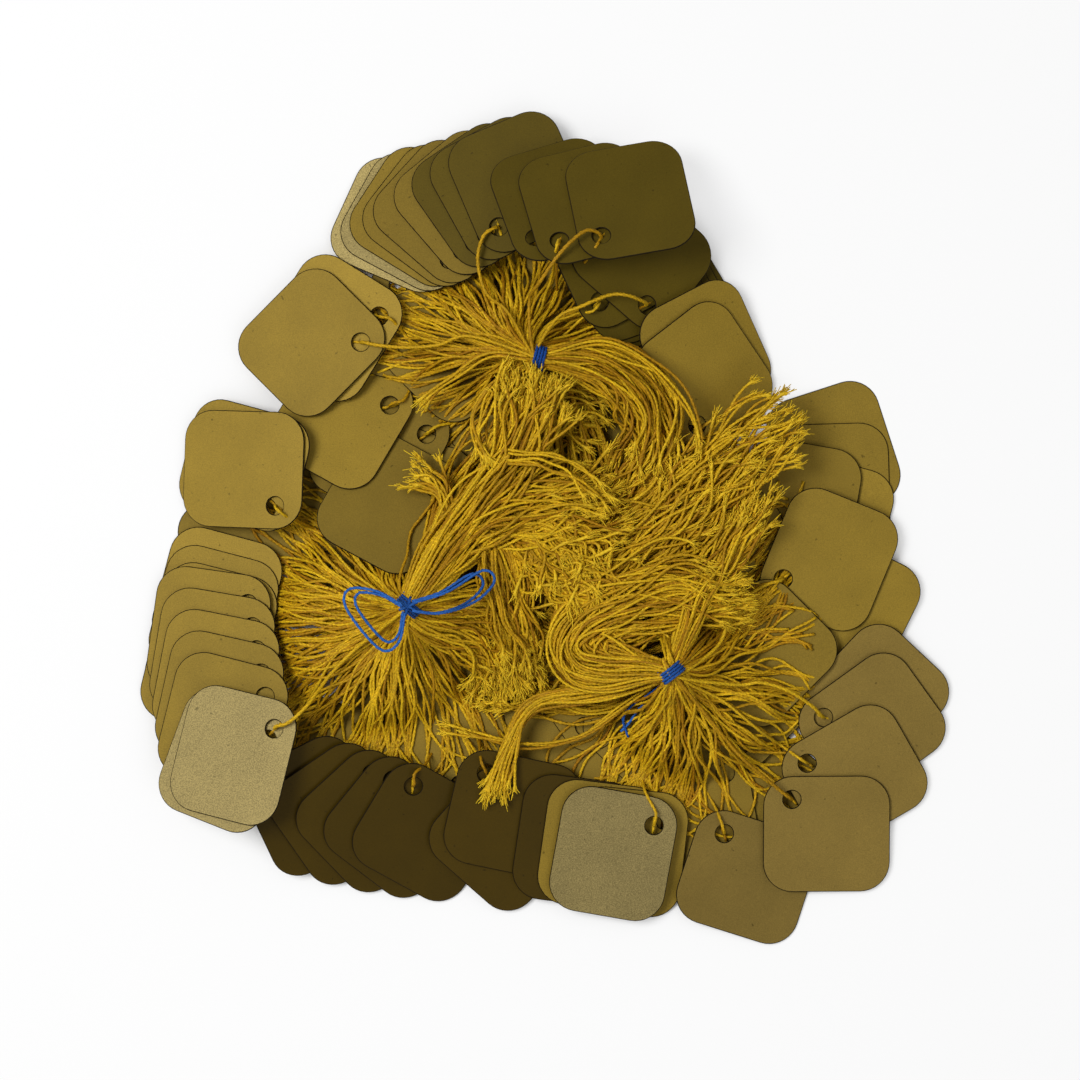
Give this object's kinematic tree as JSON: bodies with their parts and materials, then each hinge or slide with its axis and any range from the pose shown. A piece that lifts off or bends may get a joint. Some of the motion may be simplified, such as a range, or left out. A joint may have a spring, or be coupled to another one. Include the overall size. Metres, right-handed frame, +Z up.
{
  "type": "strung jewelry tags",
  "caption": "Heap of rounded gold card price tags, each on a looped cotton string, gathered in tied bundles.",
  "frame": {"origin": "on the table, under the middle of the heap as the picture shows it", "axes": "+Z up from the table; +X to the right and +Y to the top of the picture's view, which looks straight down"},
  "size_m": [0.1524, 0.1568, 0.022],
  "materials": {
    "card": "metallic gold ink on card, satin with a fine speckle",
    "cotton_string": "plied golden yellow cotton",
    "blue_thread": "plied blue cotton thread"
  },
  "bodies": {
    "heap": {"top_packet": "card", "back_packet": "card", "left_packet": "card", "lower_packet": "card", "right_packet": "card", "top_strings": "cotton_string", "left_strings": "cotton_string", "right_strings": "cotton_string", "top_tie_thread": "blue_thread", "left_tie_thread": "blue_thread", "right_tie_thread": "blue_thread", "top_fan_tag_4_string": "cotton_string", "front_top_tag_string": "cotton_string", "back_tag_2_string": "cotton_string", "west_top_tag_string": "cotton_string", "left_top_tag_2_string": "cotton_string", "right_top_tag_string": "cotton_string", "corner_tag_2_string": "cotton_string", "corner_top_tag_string": "cotton_string"},
    "middle_tag_1": {"middle_tag_1": "card"},
    "middle_tag_2": {"middle_tag_2": "card"},
    "inner_tag": {"inner_tag": "card"},
    "top_fan_tag_1": {"top_fan_tag_1": "card"},
    "top_fan_tag_2": {"top_fan_tag_2": "card"},
    "top_fan_tag_3": {"top_fan_tag_3": "card"},
    "top_fan_tag_4": {"top_fan_tag_4": "card"},
    "back_tag_1": {"back_tag_1": "card"},
    "back_tag_2": {"back_tag_2": "card"},
    "front_tag_1": {"front_tag_1": "card"},
    "front_tag_2": {"front_tag_2": "card"},
    "front_top_tag": {"front_top_tag": "card"},
    "west_tag_1": {"west_tag_1": "card"},
    "west_tag_2": {"west_tag_2": "card"},
    "west_top_tag": {"west_top_tag": "card"},
    "left_tag_1": {"left_tag_1": "card"},
    "left_tag_2": {"left_tag_2": "card"},
    "left_tag_3": {"left_tag_3": "card"},
    "left_tag_4": {"left_tag_4": "card"},
    "left_tag_5": {"left_tag_5": "card"},
    "upper_left_tag_1": {"upper_left_tag_1": "card"},
    "upper_left_tag_2": {"upper_left_tag_2": "card"},
    "bottom_tag_1": {"bottom_tag_1": "card"},
    "bottom_tag_2": {"bottom_tag_2": "card"},
    "bottom_tag_3": {"bottom_tag_3": "card"},
    "bottom_tag_4": {"bottom_tag_4": "card"},
    "bottom_tag_5": {"bottom_tag_5": "card"},
    "left_top_tag_1": {"left_top_tag_1": "card"},
    "left_top_tag_2": {"left_top_tag_2": "card"},
    "bottom_dark_tag_1": {"bottom_dark_tag_1": "card"},
    "bottom_dark_tag_2": {"bottom_dark_tag_2": "card"},
    "lower_tag": {"lower_tag": "card"},
    "lower_top_tag": {"lower_top_tag": "card"},
    "upper_right_tag_1": {"upper_right_tag_1": "card"},
    "upper_right_tag_2": {"upper_right_tag_2": "card"},
    "right_tag": {"right_tag": "card"},
    "right_top_tag": {"right_top_tag": "card"},
    "corner_tag_1": {"corner_tag_1": "card"},
    "corner_tag_2": {"corner_tag_2": "card"},
    "corner_lower_tag": {"corner_lower_tag": "card"},
    "corner_top_tag": {"corner_top_tag": "card"}
  },
  "joints": [
    {"name": "middle_tag_1_swing", "type": "hinge", "parent": "heap", "child": "middle_tag_1", "pos_m": [-0.02231, 0.01773, 0.00181], "axis": [0.026, 0.1649, 0.986], "range_deg": [-6, 6]},
    {"name": "middle_tag_2_swing", "type": "hinge", "parent": "heap", "child": "middle_tag_2", "pos_m": [-0.02041, 0.00733, 0.00509], "axis": [0.0377, 0.239, 0.9703], "range_deg": [-6, 6]},
    {"name": "inner_tag_swing", "type": "hinge", "parent": "heap", "child": "inner_tag", "pos_m": [0.00809, -0.04217, 0], "axis": [0, 0, 1], "range_deg": [-6, 6]},
    {"name": "top_fan_tag_1_swing", "type": "hinge", "parent": "heap", "child": "top_fan_tag_1", "pos_m": [-0.01541, 0.05203, 0.00574], "axis": [-0.0525, 0.1619, 0.9854], "range_deg": [-6, 6]},
    {"name": "top_fan_tag_2_swing", "type": "hinge", "parent": "heap", "child": "top_fan_tag_2", "pos_m": [-0.01315, 0.05347, 0.00638], "axis": [-0.0525, 0.1619, 0.9854], "range_deg": [-6, 6]},
    {"name": "top_fan_tag_3_swing", "type": "hinge", "parent": "heap", "child": "top_fan_tag_3", "pos_m": [-0.01088, 0.0549, 0.00701], "axis": [-0.0525, 0.1619, 0.9854], "range_deg": [-6, 6]},
    {"name": "top_fan_tag_4_swing", "type": "hinge", "parent": "heap", "child": "top_fan_tag_4", "pos_m": [-0.00861, 0.05633, 0.00765], "axis": [-0.0525, 0.1619, 0.9854], "range_deg": [-6, 6]},
    {"name": "back_tag_1_swing", "type": "hinge", "parent": "heap", "child": "back_tag_1", "pos_m": [0.01009, 0.04223, 0.01035], "axis": [0.3206, 0.0095, 0.9472], "range_deg": [-10, 10]},
    {"name": "back_tag_2_swing", "type": "hinge", "parent": "heap", "child": "back_tag_2", "pos_m": [0.01899, 0.04173, 0.00813], "axis": [0.3206, 0.0095, 0.9472], "range_deg": [-10, 10]},
    {"name": "front_tag_1_swing", "type": "hinge", "parent": "heap", "child": "front_tag_1", "pos_m": [-0.00181, 0.05353, 0.01637], "axis": [-0.0528, 0.4569, 0.8879], "range_deg": [-6, 6]},
    {"name": "front_tag_2_swing", "type": "hinge", "parent": "heap", "child": "front_tag_2", "pos_m": [0.00269, 0.05293, 0.01778], "axis": [-0.0528, 0.4569, 0.8879], "range_deg": [-6, 6]},
    {"name": "front_top_tag_swing", "type": "hinge", "parent": "heap", "child": "front_top_tag", "pos_m": [0.01039, 0.05373, 0.01866], "axis": [-0.0528, 0.4569, 0.8879], "range_deg": [-20, 20]},
    {"name": "west_tag_1_swing", "type": "hinge", "parent": "heap", "child": "west_tag_1", "pos_m": [-0.02921, 0.02313, 0.00261], "axis": [0.0315, 0.2251, 0.9738], "range_deg": [-6, 6]},
    {"name": "west_tag_2_swing", "type": "hinge", "parent": "heap", "child": "west_tag_2", "pos_m": [-0.03111, 0.03983, 0.00476], "axis": [-0.1136, 0.0213, 0.9933], "range_deg": [-6, 6]},
    {"name": "west_top_tag_swing", "type": "hinge", "parent": "heap", "child": "west_top_tag", "pos_m": [-0.03451, 0.03493, 0.00546], "axis": [-0.0932, 0.0389, 0.9949], "range_deg": [-20, 20]},
    {"name": "left_tag_1_swing", "type": "hinge", "parent": "heap", "child": "left_tag_1", "pos_m": [-0.05581, -0.01417, 0.00356], "axis": [-0.0938, 0.0147, 0.9955], "range_deg": [-6, 6]},
    {"name": "left_tag_2_swing", "type": "hinge", "parent": "heap", "child": "left_tag_2", "pos_m": [-0.05494, -0.01849, 0.00445], "axis": [-0.0938, 0.0147, 0.9955], "range_deg": [-6, 6]},
    {"name": "left_tag_3_swing", "type": "hinge", "parent": "heap", "child": "left_tag_3", "pos_m": [-0.05406, -0.02282, 0.00534], "axis": [-0.0938, 0.0147, 0.9955], "range_deg": [-6, 6]},
    {"name": "left_tag_4_swing", "type": "hinge", "parent": "heap", "child": "left_tag_4", "pos_m": [-0.05319, -0.02714, 0.00623], "axis": [-0.0938, 0.0147, 0.9955], "range_deg": [-6, 6]},
    {"name": "left_tag_5_swing", "type": "hinge", "parent": "heap", "child": "left_tag_5", "pos_m": [-0.05231, -0.03147, 0.00712], "axis": [-0.0938, 0.0147, 0.9955], "range_deg": [-6, 6]},
    {"name": "upper_left_tag_1_swing", "type": "hinge", "parent": "heap", "child": "upper_left_tag_1", "pos_m": [-0.05191, 0.00383, 0.00574], "axis": [-0.2946, -0.0013, 0.9556], "range_deg": [-12, 12]},
    {"name": "upper_left_tag_2_swing", "type": "hinge", "parent": "heap", "child": "upper_left_tag_2", "pos_m": [-0.05041, 0.00423, 0.00697], "axis": [-0.2946, -0.0013, 0.9556], "range_deg": [-12, 12]},
    {"name": "bottom_tag_1_swing", "type": "hinge", "parent": "heap", "child": "bottom_tag_1", "pos_m": [-0.04031, -0.04347, 0.00644], "axis": [0.2569, -0.2453, 0.9348], "range_deg": [-6, 6]},
    {"name": "bottom_tag_2_swing", "type": "hinge", "parent": "heap", "child": "bottom_tag_2", "pos_m": [-0.03641, -0.04467, 0.00628], "axis": [0.2306, -0.2378, 0.9435], "range_deg": [-6, 6]},
    {"name": "bottom_tag_3_swing", "type": "hinge", "parent": "heap", "child": "bottom_tag_3", "pos_m": [-0.03251, -0.04587, 0.00599], "axis": [0.2137, -0.2145, 0.9531], "range_deg": [-6, 6]},
    {"name": "bottom_tag_4_swing", "type": "hinge", "parent": "heap", "child": "bottom_tag_4", "pos_m": [-0.02861, -0.04707, 0.00581], "axis": [0.1932, -0.1939, 0.9618], "range_deg": [-6, 6]},
    {"name": "bottom_tag_5_swing", "type": "hinge", "parent": "heap", "child": "bottom_tag_5", "pos_m": [-0.02471, -0.04827, 0.00568], "axis": [0.1758, -0.1812, 0.9676], "range_deg": [-6, 6]},
    {"name": "left_top_tag_1_swing", "type": "hinge", "parent": "heap", "child": "left_top_tag_1", "pos_m": [-0.05151, -0.03927, 0.01156], "axis": [-0.258, 0.1104, 0.9598], "range_deg": [-10, 10]},
    {"name": "left_top_tag_2_swing", "type": "hinge", "parent": "heap", "child": "left_top_tag_2", "pos_m": [-0.05021, -0.03727, 0.01245], "axis": [-0.258, 0.1104, 0.9598], "range_deg": [-10, 10]},
    {"name": "bottom_dark_tag_1_swing", "type": "hinge", "parent": "heap", "child": "bottom_dark_tag_1", "pos_m": [-0.00841, -0.04907, 0.0039], "axis": [0.1142, -0.1127, 0.987], "range_deg": [-6, 6]},
    {"name": "bottom_dark_tag_2_swing", "type": "hinge", "parent": "heap", "child": "bottom_dark_tag_2", "pos_m": [-0.01101, -0.04587, 0.00532], "axis": [0.1142, -0.1127, 0.987], "range_deg": [-6, 6]},
    {"name": "lower_tag_swing", "type": "hinge", "parent": "heap", "child": "lower_tag", "pos_m": [0.03379, -0.05747, 0.00206], "axis": [0.0874, -0.038, 0.9954], "range_deg": [-10, 10]},
    {"name": "lower_top_tag_swing", "type": "hinge", "parent": "heap", "child": "lower_top_tag", "pos_m": [0.02049, -0.05577, 0.00463], "axis": [0.015, -0.0914, 0.9957], "range_deg": [-20, 20]},
    {"name": "upper_right_tag_1_swing", "type": "hinge", "parent": "heap", "child": "upper_right_tag_1", "pos_m": [0.02719, 0.02413, 0.00522], "axis": [0.3173, -0.0707, 0.9457], "range_deg": [-6, 6]},
    {"name": "upper_right_tag_2_swing", "type": "hinge", "parent": "heap", "child": "upper_right_tag_2", "pos_m": [0.02849, 0.01943, 0.00522], "axis": [0.3173, -0.0707, 0.9457], "range_deg": [-6, 6]},
    {"name": "right_tag_swing", "type": "hinge", "parent": "heap", "child": "right_tag", "pos_m": [0.04879, -0.01827, 0.00098], "axis": [0, -0.0794, 0.9968], "range_deg": [-6, 6]},
    {"name": "right_top_tag_swing", "type": "hinge", "parent": "heap", "child": "right_top_tag", "pos_m": [0.04489, -0.00947, 0.00242], "axis": [0, -0.0794, 0.9968], "range_deg": [-20, 20]},
    {"name": "corner_tag_1_swing", "type": "hinge", "parent": "heap", "child": "corner_tag_1", "pos_m": [0.05309, -0.03217, 0.00158], "axis": [0.0329, -0.0847, 0.9959], "range_deg": [-10, 10]},
    {"name": "corner_tag_2_swing", "type": "hinge", "parent": "heap", "child": "corner_tag_2", "pos_m": [0.05249, -0.03557, 0.00205], "axis": [0.0329, -0.0847, 0.9959], "range_deg": [-10, 10]},
    {"name": "corner_lower_tag_swing", "type": "hinge", "parent": "heap", "child": "corner_lower_tag", "pos_m": [0.04939, -0.04417, 0.00247], "axis": [0.0458, -0.0753, 0.9961], "range_deg": [-6, 6]},
    {"name": "corner_top_tag_swing", "type": "hinge", "parent": "heap", "child": "corner_top_tag", "pos_m": [0.04649, -0.05097, 0.00285], "axis": [0.0467, -0.075, 0.9961], "range_deg": [-20, 20]}
  ]
}
